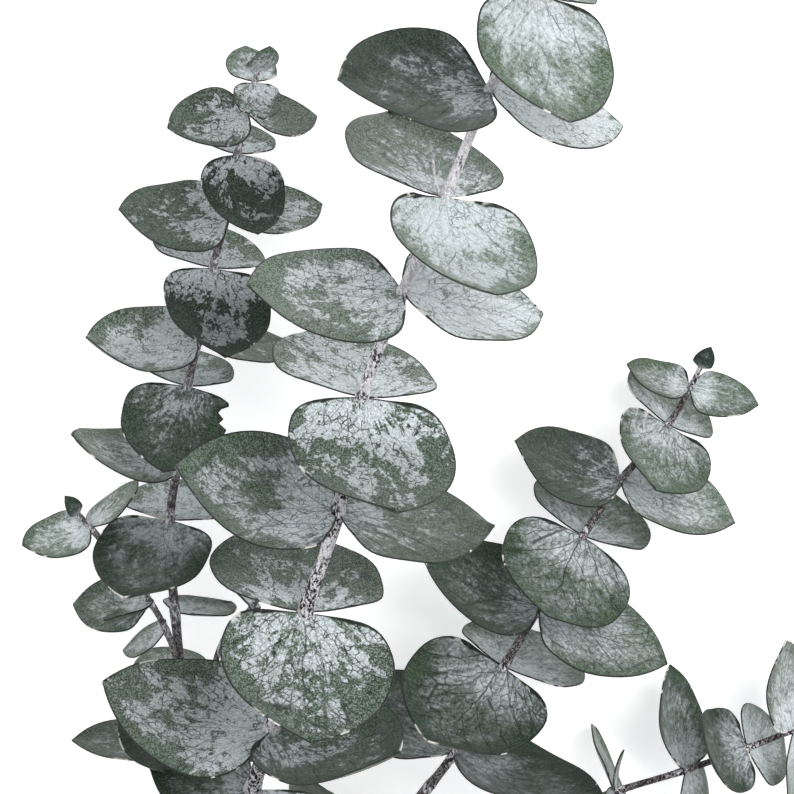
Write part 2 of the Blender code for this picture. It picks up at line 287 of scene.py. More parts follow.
leaf_finish = bpy.data.materials.new("waxy_leaf")
leaf_finish.use_nodes = True
tree = leaf_finish.node_tree
shader = tree.nodes["Principled BSDF"]
place = tree.nodes.new("ShaderNodeTexCoord").outputs["Object"]
blade_map = tree.nodes.new("ShaderNodeUVMap")
blade_map.uv_map = "blade"
flat = tree.nodes.new("ShaderNodeSeparateXYZ")
tree.links.new(blade_map.outputs["UV"], flat.inputs[0])
# Each leaf's wax, veins, darkness and sharpness; the darkness is partly painted shade
tone_and_shade = tree.nodes.new("ShaderNodeAttribute")
tone_and_shade.attribute_name = "leaf_tone_and_shade"
tones_and_shade = tree.nodes.new("ShaderNodeSeparateColor")
tree.links.new(tone_and_shade.outputs["Color"], tones_and_shade.inputs[0])
edge = tree.nodes.new("ShaderNodeAttribute")
edge.attribute_name = "edge_distance"
edge_distance = edge.outputs["Fac"]
leaf_wax = tree.nodes.new("ShaderNodeGroup")
leaf_wax.node_tree = wax
tree.links.new(place, leaf_wax.inputs["Vector"])
tree.links.new(tone_and_shade.outputs["Alpha"], leaf_wax.inputs["Sharpness"])
cloud_shift = work_out(tree, "SUBTRACT", leaf_wax.outputs["Cloud"], 0.5)

# A crooked midrib, and side veins that lean to the tip
bent_across = work_out(tree, "ADD", flat.outputs["X"], work_out(tree, "MULTIPLY", cloud_shift, 0.13))
off_midrib = work_out(tree, "ABSOLUTE", work_out(tree, "SUBTRACT", bent_across, 0.5))
lean = work_out(tree, "MULTIPLY", work_out(tree, "POWER", off_midrib, 0.85), 0.95)
wander = work_out(tree, "MULTIPLY", cloud_shift, 0.16)
along_vein = work_out(tree, "ADD", work_out(tree, "SUBTRACT", flat.outputs["Y"], lean), wander)
side_sign = work_out(tree, "GREATER_THAN", flat.outputs["X"], 0.5)
stripe = work_out(tree, "MULTIPLY", along_vein, VEIN_PAIRS)
stripe = work_out(tree, "ADD", stripe, work_out(tree, "MULTIPLY", side_sign, 0.37))
to_stripe = work_out(tree, "ABSOLUTE", work_out(tree, "SUBTRACT", work_out(tree, "FRACT", stripe), 0.5))
side_veins = ease(tree, to_stripe, 0.006, 0.040, 1.0, 0.0)
midrib = ease(tree, off_midrib, 0.003, 0.009, 1.0, 0.0)
midrib = work_out(tree, "MULTIPLY", midrib, ease(tree, flat.outputs["Y"], 0.5, 0.85, 1.0, 0.3))

# Branching lines that fan out from the base
fan = tree.nodes.new("ShaderNodeCombineXYZ")
fan_angle = tree.nodes.new("ShaderNodeMath")
fan_angle.operation = "ARCTAN2"
tree.links.new(work_out(tree, "SUBTRACT", flat.outputs["X"], 0.5), fan_angle.inputs[0])
tree.links.new(work_out(tree, "ADD", flat.outputs["Y"], 0.12), fan_angle.inputs[1])
fan_across = work_out(tree, "ADD", work_out(tree, "MULTIPLY", fan_angle.outputs[0], 7.0), cloud_shift)
fan_along = work_out(tree, "ADD", work_out(tree, "MULTIPLY", flat.outputs["Y"], 4.0), wander)
tree.links.new(fan_across, fan.inputs["X"])
tree.links.new(fan_along, fan.inputs["Y"])
tree.links.new(work_out(tree, "MULTIPLY", tones_and_shade.outputs["Red"], 90.0), fan.inputs["Z"])
fan_cells = tree.nodes.new("ShaderNodeTexVoronoi")
fan_cells.feature = "DISTANCE_TO_EDGE"
fan_cells.inputs["Scale"].default_value = 0.62
tree.links.new(fan.outputs["Vector"], fan_cells.inputs["Vector"])
fan_lines = ease(tree, fan_cells.outputs["Distance"], 0.004, 0.026, 1.0, 0.0)
fan_fading = ease(tree, leaf_wax.outputs["Cloud"], 0.40, 0.56)
fan_lines = work_out(tree, "MULTIPLY", fan_lines, fan_fading)
streaks = noise(tree, fan.outputs["Vector"], 1.6, 3.0, 0.65, 0.4)
streaks = work_out(tree, "SUBTRACT", streaks, 0.5)
net = work_out(tree, "MULTIPLY", leaf_wax.outputs["Net"], 0.5)
veins = work_out(tree, "MAXIMUM", work_out(tree, "MAXIMUM", side_veins, midrib), net)
veins = work_out(tree, "MAXIMUM", veins, work_out(tree, "MULTIPLY", fan_lines, 0.8))
veins = work_out(tree, "MULTIPLY", veins, tones_and_shade.outputs["Green"], clamp=True)

# The wax: more at the base and beside the midrib, less along the edge, and in faint streaks
base_wax = ease(tree, flat.outputs["Y"], 0.0, 0.45, 0.50, 0.0)
rib_wax = ease(tree, off_midrib, 0.0, 0.30, 0.12, 0.0)
edge_wax = ease(tree, edge_distance, 0.0, 0.24, -0.34, 0.0)
amount = work_out(tree, "ADD", tones_and_shade.outputs["Red"], base_wax)
amount = work_out(tree, "ADD", amount, work_out(tree, "ADD", rib_wax, edge_wax))
amount = work_out(tree, "ADD", amount, streaks)
tree.links.new(amount, leaf_wax.inputs["Amount"])
leaf_wax.inputs["Scratches"].default_value = 0.95
tree.links.new(ease(tree, tones_and_shade.outputs["Blue"], 0.3, 1.0, 1.0, 0.42), leaf_wax.inputs["Stipple"])

# The green under the wax, darker in clouds and with each leaf's darkness, which is partly painted
# shade, then the wax, the veins and the edge with its painted glints
dark_clouds = work_out(tree, "MULTIPLY", cloud_shift, 0.9)
darkness = work_out(tree, "ADD", tones_and_shade.outputs["Blue"], dark_clouds, clamp=True)
green = blend_colours(tree, darkness, LEAF_GREEN, LEAF_DARK_AND_SHADED)
green = blend_colours(tree, work_out(tree, "MULTIPLY", leaf_wax.outputs["Lines"], 0.8), green, LEAF_VEIN)
most_wax = ease(tree, tones_and_shade.outputs["Blue"], 0.2, 1.0, 0.92, 0.44)
most_wax = work_out(tree, "ADD", most_wax, work_out(tree, "MULTIPLY", base_wax, 0.9), clamp=True)
wax_share = work_out(tree, "MULTIPLY", leaf_wax.outputs["Wax"], most_wax)
rubbed_fan = work_out(tree, "SUBTRACT", 1.0, work_out(tree, "MULTIPLY", fan_lines, 0.55))
wax_share = work_out(tree, "MULTIPLY", wax_share, rubbed_fan)
colour = blend_colours(tree, wax_share, green, LEAF_WAX)
colour = blend_colours(tree, work_out(tree, "MULTIPLY", veins, 0.8), colour, LEAF_VEIN)
# A thin dark edge line, with painted pale glints of light where the cloud is high
edge_line = ease(tree, edge_distance, 0.004, 0.011, 1.0, 0.0)
painted_edge_glint = ease(tree, leaf_wax.outputs["Cloud"], 0.60, 0.64)
edge_colour = blend_colours(tree, painted_edge_glint, LEAF_EDGE, LEAF_EDGE_PAINTED_GLINT)
colour = blend_colours(tree, edge_line, colour, edge_colour)
tree.links.new(colour, shader.inputs["Base Color"])
tree.links.new(ease(tree, wax_share, 0.0, 1.0, 0.42, 0.62), shader.inputs["Roughness"])
shader.inputs["Specular IOR Level"].default_value = 0.22
relief = work_out(tree, "SUBTRACT", leaf_wax.outputs["Cloud"], work_out(tree, "MULTIPLY", side_veins, 0.4))
bump = tree.nodes.new("ShaderNodeBump")
bump.inputs["Distance"].default_value = 0.0006
bump.inputs["Strength"].default_value = 0.7
tree.links.new(relief, bump.inputs["Height"])
tree.links.new(bump.outputs["Normal"], shader.inputs["Normal"])


# The leaf blade, made once. It sits on the stem without a stalk: broad, with a nearly
# straight base, full sides and a small point. It is drawn out row by row from its base edge
# at a length and a half width of 1, and each leaf is a copy of it, bent and sized.
HALF_WIDTHS = (
    (0.0, 0.54), (0.012, 0.62), (0.03, 0.70), (0.06, 0.79), (0.10, 0.865), (0.15, 0.925),
    (0.20, 0.962), (0.26, 0.988), (0.32, 1.0), (0.38, 0.999), (0.44, 0.988), (0.50, 0.967),
    (0.56, 0.935), (0.62, 0.888), (0.68, 0.825), (0.74, 0.742), (0.79, 0.655), (0.84, 0.548),
    (0.88, 0.443), (0.92, 0.318), (0.95, 0.212), (0.975, 0.115), (0.99, 0.05), (1.0, 0.008),
)
BLADE_COLUMNS = 28
BASE_ROUNDING = 0.07
BASE_POINTS = 15
RIM_STEPS = (0.0, 0.25, 0.5, 0.75)
RIM_GAP = 0.3
EDGE_WIDTH = 0.06
EDGE_THICKNESS = 0.45
BLADE_ROOT = (0.0, 0.0, 0.0)
base_half = HALF_WIDTHS[0][1]
first_row, first_half = HALF_WIDTHS[1]
bpy.ops.object.select_all(action="DESELECT")
bpy.ops.mesh.primitive_grid_add(x_subdivisions=BLADE_COLUMNS, y_subdivisions=1, size=2.0)
blade = bpy.context.object
blade.name = "leaf_blade"
bpy.ops.object.mode_set(mode="EDIT")
bpy.ops.mesh.select_mode(type="EDGE")
bpy.ops.mesh.select_all(action="SELECT")
bpy.ops.transform.resize(value=(base_half, first_row / 2, 1.0), center_override=BLADE_ROOT)
bpy.ops.transform.translate(value=(0.0, first_row / 2, 0.0))
bpy.ops.mesh.select_all(action="DESELECT")
bpy.ops.object.mode_set(mode="OBJECT")
for edge_piece in blade.data.edges:
    ends = [blade.data.vertices[corner].co.y for corner in edge_piece.vertices]
    edge_piece.select = min(ends) > first_row * 0.9
bpy.ops.object.mode_set(mode="EDIT")
bpy.ops.transform.resize(value=(first_half / base_half, 1.0, 1.0), center_override=BLADE_ROOT)
for (last_row, last_half), (row, half) in zip(HALF_WIDTHS[1:], HALF_WIDTHS[2:]):
    bpy.ops.mesh.extrude_region_move(TRANSFORM_OT_translate={"value": (0.0, row - last_row, 0.0)})
    bpy.ops.transform.resize(value=(half / last_half, 1.0, 1.0), center_override=BLADE_ROOT)
bpy.ops.mesh.select_all(action="SELECT")
bpy.ops.mesh.normals_make_consistent(inside=False)
bpy.ops.object.mode_set(mode="OBJECT")

# The blade's own map, and how far each point lies from the edge, as a share of its length
flat_places = np.array([tuple(vertex.co) for vertex in blade.data.vertices])
flat_rows = np.array([row for row, half in HALF_WIDTHS])
flat_halves = np.array([half for row, half in HALF_WIDTHS])
row_halves = np.interp(flat_places[:, 1], flat_rows, flat_halves)
across_share = np.clip(flat_places[:, 0] / row_halves, -1.0, 1.0)
rounding = BASE_ROUNDING * across_share**2 * (1.0 - flat_places[:, 1]) ** 4
drawn = np.column_stack((flat_places[:, 0] / 2, flat_places[:, 1] + rounding))
rim_rows = flat_rows + BASE_ROUNDING * (1.0 - flat_rows) ** 4
base_line = np.linspace(-1, 1, BASE_POINTS)
rim = np.vstack((
    np.column_stack((-flat_halves / 2, rim_rows)),
    np.column_stack((flat_halves / 2, rim_rows)),
    np.column_stack((base_line * flat_halves[0] / 2, BASE_ROUNDING * base_line**2)),
))
fine_rim = np.vstack([rim[:-1] + (rim[1:] - rim[:-1]) * step for step in RIM_STEPS])
jumps = np.linalg.norm(rim[1:] - rim[:-1], axis=1) > RIM_GAP
fine_rim = fine_rim[~np.tile(jumps, len(RIM_STEPS))]
edge_distances = np.min(np.linalg.norm(drawn[:, None, :] - fine_rim[None, :, :], axis=2), axis=1)
blade_uv = blade.data.uv_layers[0]
blade_uv.name = "blade"
for corner in blade.data.loops:
    across, along = drawn[corner.vertex_index]
    blade_uv.data[corner.index].uv = (across + 0.5, along)
edge_values = blade.data.attributes.new("edge_distance", "FLOAT", "POINT")
edge_values.data.foreach_set("value", edge_distances.astype(np.float32))
blade.data.color_attributes.new("leaf_tone_and_shade", "FLOAT_COLOR", "POINT")
full = blade.vertex_groups.new(name="full_thickness")
for vertex in blade.data.vertices:
    inward = min(edge_distances[vertex.index] / EDGE_WIDTH, 1.0)
    full.add([vertex.index], EDGE_THICKNESS + (1.0 - EDGE_THICKNESS) * inward, "REPLACE")
blade.data.materials.append(leaf_finish)


# How a leaf grows. Its root is on the stem, its upper face looks to the stem's tip, and it
# arches down along its length and cups up across it. No two are bent quite alike.
CUP = 0.08
SAG = 0.11
FAR_CUP = 0.5
FAR_SAG = 0.2
WAVE_DEPTH = 0.010
RIPPLE_DEPTH = 0.012
DENT_DEPTH = 0.007
GROOVE_DEPTH = 0.22 * MM
GROOVE_WIDTH = 0.55 * MM
ROOT_OFFSET = 0.3 * MM
BUD_SINK = 1.5 * MM
TIP_PRESS = 6.0 * MM
BLADE_THICKNESS = 0.6 * MM
LEAST_HEIGHT = 0.375 * MM
BOX_MARGIN = 0.34 * MM
SMOOTH_ANGLE = math.radians(50.0)


def tip_at_reach(across, down, root, reach, towards):
    """The tip seen at a pixel, at a real distance from its root, on the near or the far side."""
    way = sight_line(across, down)
    middle = way.dot(root - eye)
    offside = (eye + way * middle - root).length
    tip = eye + way * (middle - towards * math.sqrt(max(reach * reach - offside * offside, 0.0)))
    if tip.z < LEAST_HEIGHT:
        tip = at_height(across, down, LEAST_HEIGHT)
    return tip


def bend_leaf(root, tip, stem_way, leaf_width, towards, roll, turn, offset, press, gnawed):
    """Carry the flat blade's points to a leaf in its place."""
    axis = (tip - root).normalized()
    normal = (stem_way - axis * stem_way.dot(axis)).normalized()
    normal = Matrix.Rotation(math.radians(roll), 3, axis) @ normal
    side = normal.cross(axis)
    start = root + axis * offset
    length = (tip - start).length
    straight = towards < 0 and press == 0.0
    cup = CUP * (1.0 + 0.6 * math.sin(2.4 * turn)) * (FAR_CUP if straight else 1.0)
    sag = SAG * (1.0 + 0.3 * math.sin(1.7 * turn + 1.0)) * (FAR_SAG if straight else 1.0)
    along = flat_places[:, 1]
    wave = WAVE_DEPTH * np.sin(9.0 * along + 2.1 * turn + 1.5 * across_share) * np.abs(across_share) ** 3
    ripple = RIPPLE_DEPTH * np.sin(14.0 * along + 3.3 * turn) * np.abs(across_share) ** 2
    ripple = ripple * (1.0 - along)
    across = across_share * row_halves * (1.0 + ripple) * leaf_width / 2
    if gnawed:
        left_over = np.interp(along, [row for row, share in gnawed], [share for row, share in gnawed])
        across = np.where(across_share > 0, across * left_over, across)
    groove = GROOVE_DEPTH * np.exp(-((across / GROOVE_WIDTH) ** 2)) * np.clip(1.2 - along, 0.0, 1.0)
    lift = cup * leaf_width * across_share**2 * row_halves - sag * length * 4 * along * (1 - along)
    dents = np.sin(7.0 * along + 3.0 * turn) * np.sin(4.2 * across_share + 1.3 * turn)
    lift = lift + (wave + DENT_DEPTH * dents * np.clip(along * 5.0, 0.0, 1.0)) * leaf_width - groove
    placed = (
        np.array(start)[None, :]
        + np.outer(length * (along + rounding), np.array(axis))
        + np.outer(across, np.array(side))
        + np.outer(lift, np.array(normal))
    )
    placed[:, 2] -= press * along
    placed[:, 2] = np.maximum(placed[:, 2], LEAST_HEIGHT)
    low, high = [np.array(tuple(corner)) for corner in solid_box]
    return np.clip(placed, low + BOX_MARGIN, high - BOX_MARGIN)


def stem_places(stem):
    """Where each point of a stem lies."""
    return {
        name: at_height(across, down, height * MM)
        for name, (across, down, height, radius) in stem.items()
    }


def stem_direction(places, name):
    """The way the stem runs at one of its points."""
    names = list(places)
    at = names.index(name)
    return (places[names[min(at + 1, len(names) - 1)]] - places[names[max(at - 1, 0)]]).normalized()


def grow_leaves(name, stem, leaves, node, press_at=None, bites=None):
    """A stem's leaves as one piece: copies of the blade, each bent into its place.

    A leaf's last four values are its wax, veins, darkness and sharpness. The darkness is partly the leaf's
    own colour and partly painted shade.
    """
    places = stem_places(stem)
    copies = []
    for turn, (point, across, down, reach, width, towards, roll, *looks) in enumerate(leaves):
        root = places[point]
        tip = tip_at_reach(across, down, root, reach * MM, towards)
        leaf = bpy.data.objects.new(f"{name}_{turn}", blade.data.copy())
        bpy.context.scene.collection.objects.link(leaf)
        offset = -BUD_SINK if point == "bud" else ROOT_OFFSET
        press = TIP_PRESS if point == press_at else 0.0
        gnawed = bites.get(turn) if bites else None
        stem_way = stem_direction(places, point)
        placed = bend_leaf(
            root, tip, stem_way, width * MM, towards, roll, turn, offset, press, gnawed
        )
        leaf.data.vertices.foreach_set("co", placed.astype(np.float32).ravel())
        colours = np.tile(np.array(looks, np.float32), len(leaf.data.vertices))
        leaf.data.color_attributes["leaf_tone_and_shade"].data.foreach_set("color", colours)
        copies.append(leaf)
    bpy.ops.object.select_all(action="DESELECT")
    for leaf in copies:
        leaf.select_set(True)
    bpy.context.view_layer.objects.active = copies[0]
    bpy.ops.object.join()
    joined = bpy.context.object
    joined.name = name
    joined.data.name = name
    thicken = joined.modifiers.new("thickness", "SOLIDIFY")
    thicken.thickness = BLADE_THICKNESS
    thicken.offset = 0.0
    thicken.vertex_group = "full_thickness"
    thicken.thickness_vertex_group = 0.4
    bpy.ops.object.modifier_apply(modifier="thickness")
    bpy.ops.object.shade_smooth_by_angle(angle=SMOOTH_ANGLE)
    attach(joined, "root")
    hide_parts(node)


# The bark finish. The leader is white-lilac with wax, which has gone in dark brown purple
# specks and short streaks along the stem, fewer toward its tip. The thin side stems are
# browner, and those on the right the darkest.
BARK_WAX = (0.80, 0.78, 0.81, 1.0)
BARK_BROWN = (0.026, 0.016, 0.017, 1.0)
BARK_THIN_WAX = (0.15, 0.125, 0.13, 1.0)
BARK_BARE = (0.062, 0.046, 0.041, 1.0)


def make_bark(name, amount, node_amount, scratches, most_dark, thin_wax, top_dark):
    """A bark finish with more or less wax, and with more or fewer dark specks toward the top."""
    finish = bpy.data.materials.new(name)
    finish.use_nodes = True
    bark = finish.node_tree
    surface = bark.nodes["Principled BSDF"]
    spot = bark.nodes.new("ShaderNodeTexCoord").outputs["Object"]
    stretch = bark.nodes.new("ShaderNodeMapping")
    stretch.inputs["Scale"].default_value = (1.6, 0.75, 1.6)
    bark.links.new(spot, stretch.inputs["Vector"])
    stem_wax = bark.nodes.new("ShaderNodeGroup")
    stem_wax.node_tree = wax
    bark.links.new(stretch.outputs["Vector"], stem_wax.inputs["Vector"])
    near_node = bark.nodes.new("ShaderNodeAttribute")
    near_node.attribute_name = "near_node"
    more = work_out(bark, "MULTIPLY", near_node.outputs["Fac"], node_amount)
    bark.links.new(work_out(bark, "ADD", more, amount), stem_wax.inputs["Amount"])
    stem_wax.inputs["Sharpness"].default_value = 0.8
    stem_wax.inputs["Scratches"].default_value = scratches
    specks = noise(bark, stretch.outputs["Vector"], 760.0, 3.0, 0.7, 0.6)
    dark_specks = ease(bark, specks, 0.48, 0.515)
    cloudy = ease(bark, stem_wax.outputs["Cloud"], 0.38, 0.50)
    share_dark = ease(bark, cloudy, 0.0, 1.0, 0.12, most_dark)
    dark_specks = work_out(bark, "MULTIPLY", dark_specks, share_dark)
    along = bark.nodes.new("ShaderNodeSeparateXYZ")
    bark.links.new(spot, along.inputs["Vector"])
    fewer_above = ease(bark, along.outputs["Y"], 0.07, 0.10, 1.0, top_dark)
    dark_specks = work_out(bark, "MULTIPLY", dark_specks, fewer_above)
    bare = blend_colours(bark, stem_wax.outputs["Cloud"], BARK_BROWN, thin_wax)
    skin = blend_colours(bark, stem_wax.outputs["Wax"], bare, BARK_WAX)
    skin = blend_colours(bark, dark_specks, skin, BARK_BROWN)
    bark.links.new(skin, surface.inputs["Base Color"])
    surface.inputs["Roughness"].default_value = 0.6
    surface.inputs["Specular IOR Level"].default_value = 0.2
    height = work_out(bark, "SUBTRACT", specks, dark_specks)
    raised = bark.nodes.new("ShaderNodeBump")
    raised.inputs["Distance"].default_value = 0.0003
    raised.inputs["Strength"].default_value = 0.7
    bark.links.new(height, raised.inputs["Height"])
    bark.links.new(raised.outputs["Normal"], surface.inputs["Normal"])
    return finish


leader_bark = make_bark("leader_bark", 0.80, 0.10, 0.4, 1.0, BARK_THIN_WAX, 0.3)
side_bark = make_bark("side_bark", 0.14, 0.6, 0.6, 0.8, BARK_THIN_WAX, 1.0)
right_bark = make_bark("right_bark", 0.08, 0.6, 0.5, 1.0, BARK_BARE, 1.0)


# How a stem grows. It tapers to its tip along a smooth line, and swells a little at each
# pair of leaves, where it is ringed.
STEM_CUTS = 5
SWELLING = (1.22, 1.02, 0.97, 0.96, 0.97, 1.04)
NODE_REACH = 4.5 * MM
STEM_FIT = 0.98


def grow_stem(name, stem, bark, node=None):
    """A stem drawn as a curve through its points, given its thickness and made a mesh."""
    places = list(stem_places(stem).values())
    radii = [radius * STEM_FIT * MM for across, down, height, radius in stem.values()]
    bpy.ops.object.select_all(action="DESELECT")
    bpy.ops.curve.primitive_bezier_curve_add(location=(0.0, 0.0, 0.0))
    drawn_stem = bpy.context.object
    drawn_stem.name = name
    line = drawn_stem.data.splines[0]
    line.bezier_points.add(len(places) - 2)
    for point, at in zip(line.bezier_points, places):
        point.co = at
        point.handle_left_type = "AUTO"
        point.handle_right_type = "AUTO"
    bpy.ops.object.mode_set(mode="EDIT")
    bpy.ops.curve.select_all(action="SELECT")
    bpy.ops.curve.subdivide(number_cuts=STEM_CUTS)
    bpy.ops.object.mode_set(mode="OBJECT")
    line = drawn_stem.data.splines[0]
    step = STEM_CUTS + 1
    for at, point in enumerate(line.bezier_points):
        low = min(at // step, len(radii) - 1)
        high = min(low + 1, len(radii) - 1)
        share = (at % step) / step
        radius = radii[low] * (1.0 - share) + radii[high] * share
        swell = SWELLING[at % step] if 0 < at < len(line.bezier_points) - 1 else 1.0
        point.radius = radius * swell
    drawn_stem.data.dimensions = "3D"
    drawn_stem.data.bevel_depth = 1.0
    drawn_stem.data.bevel_resolution = 5
    drawn_stem.data.resolution_u = 4
    drawn_stem.data.use_fill_caps = True
    bpy.ops.object.convert(target="MESH")
    bpy.ops.object.mode_set(mode="EDIT")
    bpy.ops.mesh.select_all(action="SELECT")
    bpy.ops.mesh.remove_doubles(threshold=0.00001)
    bpy.ops.mesh.normals_make_consistent(inside=False)
    bpy.ops.object.mode_set(mode="OBJECT")
    made = bpy.context.object
    made.data.materials.clear()
    made.data.materials.append(bark)
    spots = np.array([tuple(vertex.co) for vertex in made.data.vertices])
    node_spots = np.array([tuple(at) for at in places])
    distances = np.min(np.linalg.norm(spots[:, None, :] - node_spots[None, :, :], axis=2), axis=1)
    near_node = made.data.attributes.new("near_node", "FLOAT", "POINT")
    near_node.data.foreach_set("value", np.exp(-((distances / NODE_REACH) ** 2)).astype(np.float32))
    bpy.ops.object.shade_smooth_by_angle(angle=SMOOTH_ANGLE)
    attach(made, "root")
    if node:
        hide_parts(node)


# The leader. The thick main stem, from the slanting cut at its foot to the bud at its tip,
# with the largest leaves in crossed pairs. Stem points are (across, down, height, radius).
# Leaves are (stem point, tip across, tip down, length, width, nearer or farther, roll, wax,
# veins, darkness (partly painted shade), sharpness of the wax patches).
LEADER_STEM = {
    "cut": (185, 1080, 2.7, 2.7),
    "m12": (196, 1020, 15, 2.7),
    "m11": (208, 960, 29, 2.6),
    "m10": (226, 890, 46, 2.5),
    "m9": (252, 790, 63, 2.4),
    "m8": (272, 728, 72, 2.3),
    "m7": (305, 612, 85, 2.1),
    "m6": (338, 512, 92, 1.9),
    "m5": (362, 397, 97, 1.7),
    "m4": (403, 292, 101, 1.6),
    "m3": (445, 197, 104, 1.5),
    "m2": (490, 90, 107, 1.4),
    "m1": (537, -5, 109, 1.3),
    "m0": (563, -70, 110, 1.1),
    "top": (580, -115, 111, 0.9),
    "bud": (590, -145, 112, 0.7),
}
LEADER_LEAVES = (
    ("top", 560, -150, 13, 8, 1, 0, 0.45, 0.2, 0.5, 0.25),
    ("top", 612, -135, 12, 8, -1, 0, 0.45, 0.2, 0.5, 0.25),
    ("m0", 470, -98, 31, 30, 1, 0, 0.45, 0.2, 0.5, 0.25),
    ("m0", 655, -45, 29, 28, -1, 0, 0.45, 0.2, 0.5, 0.25),
    ("m1", 570, 122, 41, 42, 1, 0, 0.47, 0.2, 0.25, 0.1),
    ("m1", 520, -60, 39, 38, -1, 0, 0.45, 0.2, 0.5, 0.35),
    ("m2", 338, 79, 44, 44, 1, -5, 0.3, 0.25, 0.92, 0.45),
    ("m2", 623, 126, 40, 40, -1, 0, 0.94, 0.2, 0.2, 0.6),
    ("m3", 500, 295, 43, 43, 1, 0, 0.6, 0.2, 0.15, 0.3),
    ("m3", 387, 112, 42, 46, -1, 0, 0.38, 0.6, 0.45, 0.45),
    ("m4", 247, 285, 45, 44, 1, 0, 0.42, 0.2, 0.45, 0.6),
    ("m4", 543, 314, 42, 42, -1, 0, 0.86, 0.5, 0.15, 0.45),
    ("m5", 396, 512, 46, 48, 1, 0, 0.53, 0.3, 0.62, 0.9),
    ("m5", 339, 330, 44, 47, -1, 0, 0.64, 0.4, 0.25, 0.9),
    ("m6", 175, 466, 48, 47, 1, -6, 0.5, 0.7, 0.48, 0.5),
    ("m6", 494, 526, 45, 44, -1, -5, 0.34, 0.7, 0.7, 0.4),
    ("m7", 311, 743, 46, 50, 1, 0, 0.45, 0.9, 0.42, 0.8),
    ("m7", 281, 527, 43, 51, -1, 0, 0.34, 0.2, 0.62, 0.8),
    ("m8", 103, 682, 50, 47, 1, 0, 0.56, 0.4, 0.48, 0.7),
    ("m8", 400, 752, 45, 45, 1, 0, 0.34, 0.3, 0.8, 0.6),
    ("m9", 300, 905, 44, 45, 1, 0, 0.44, 0.3, 0.5, 0.25),
    ("m9", 150, 768, 30, 36, -1, 0, 0.36, 0.2, 0.7, 0.25),
    ("m10", 368, 905, 44, 43, 1, 0, 0.42, 0.3, 0.6, 0.25),
    ("m12", 70, 1036, 43, 40, -1, -60, 0.42, 0.3, 0.5, 0.25),
    ("m12", 312, 1058, 42, 39, -1, 62, 0.42, 0.3, 0.5, 0.25),
)
grow_stem("leader_stem", LEADER_STEM, leader_bark, "leader")
grow_leaves("leader_leaves", LEADER_STEM, LEADER_LEAVES, "leader", press_at="m12")

# The dry stub of a leaf stalk beside the leader, and the pale wood at its cut foot
STUB = {
    "foot": (443, 202, 103.5, 0.6),
    "bend": (436, 183, 106, 0.45),
    "end": (433, 160, 109, 0.35),
}
grow_stem("dry_stub", STUB, leader_bark)
cut_wood = bpy.data.materials.new("cut_wood")
cut_wood.use_nodes = True
wood_tree = cut_wood.node_tree
wood_surface = wood_tree.nodes["Principled BSDF"]
wood_spot = wood_tree.nodes.new("ShaderNodeTexCoord").outputs["Object"]
wood_cloud = noise(wood_tree, wood_spot, 1500.0, 3.0)
WOOD_PALE = (0.55, 0.45, 0.30, 1.0)
WOOD_DARK = (0.30, 0.21, 0.12, 1.0)
wood_colour = blend_colours(wood_tree, wood_cloud, WOOD_PALE, WOOD_DARK)
wood_tree.links.new(wood_colour, wood_surface.inputs["Base Color"])
wood_surface.inputs["Roughness"].default_value = 0.8
CUT_RADIUS = 2.45 * MM
CUT_DEPTH = 0.3 * MM
CUT_INSET = 0.1
leader_places = stem_places(LEADER_STEM)
foot_way = (leader_places["m12"] - leader_places["cut"]).normalized()
bpy.ops.object.select_all(action="DESELECT")
bpy.ops.mesh.primitive_cylinder_add(
    vertices=48,
    radius=CUT_RADIUS,
    depth=CUT_DEPTH,
    location=leader_places["cut"] + foot_way * CUT_INSET * MM,
    rotation=foot_way.to_track_quat("Z", "Y").to_euler(),
)
cut_face = bpy.context.object
cut_face.name = "cut_face"
bpy.ops.object.transform_apply(location=True, rotation=True, scale=True)
cut_face.data.materials.append(cut_wood)
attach(cut_face, "root")
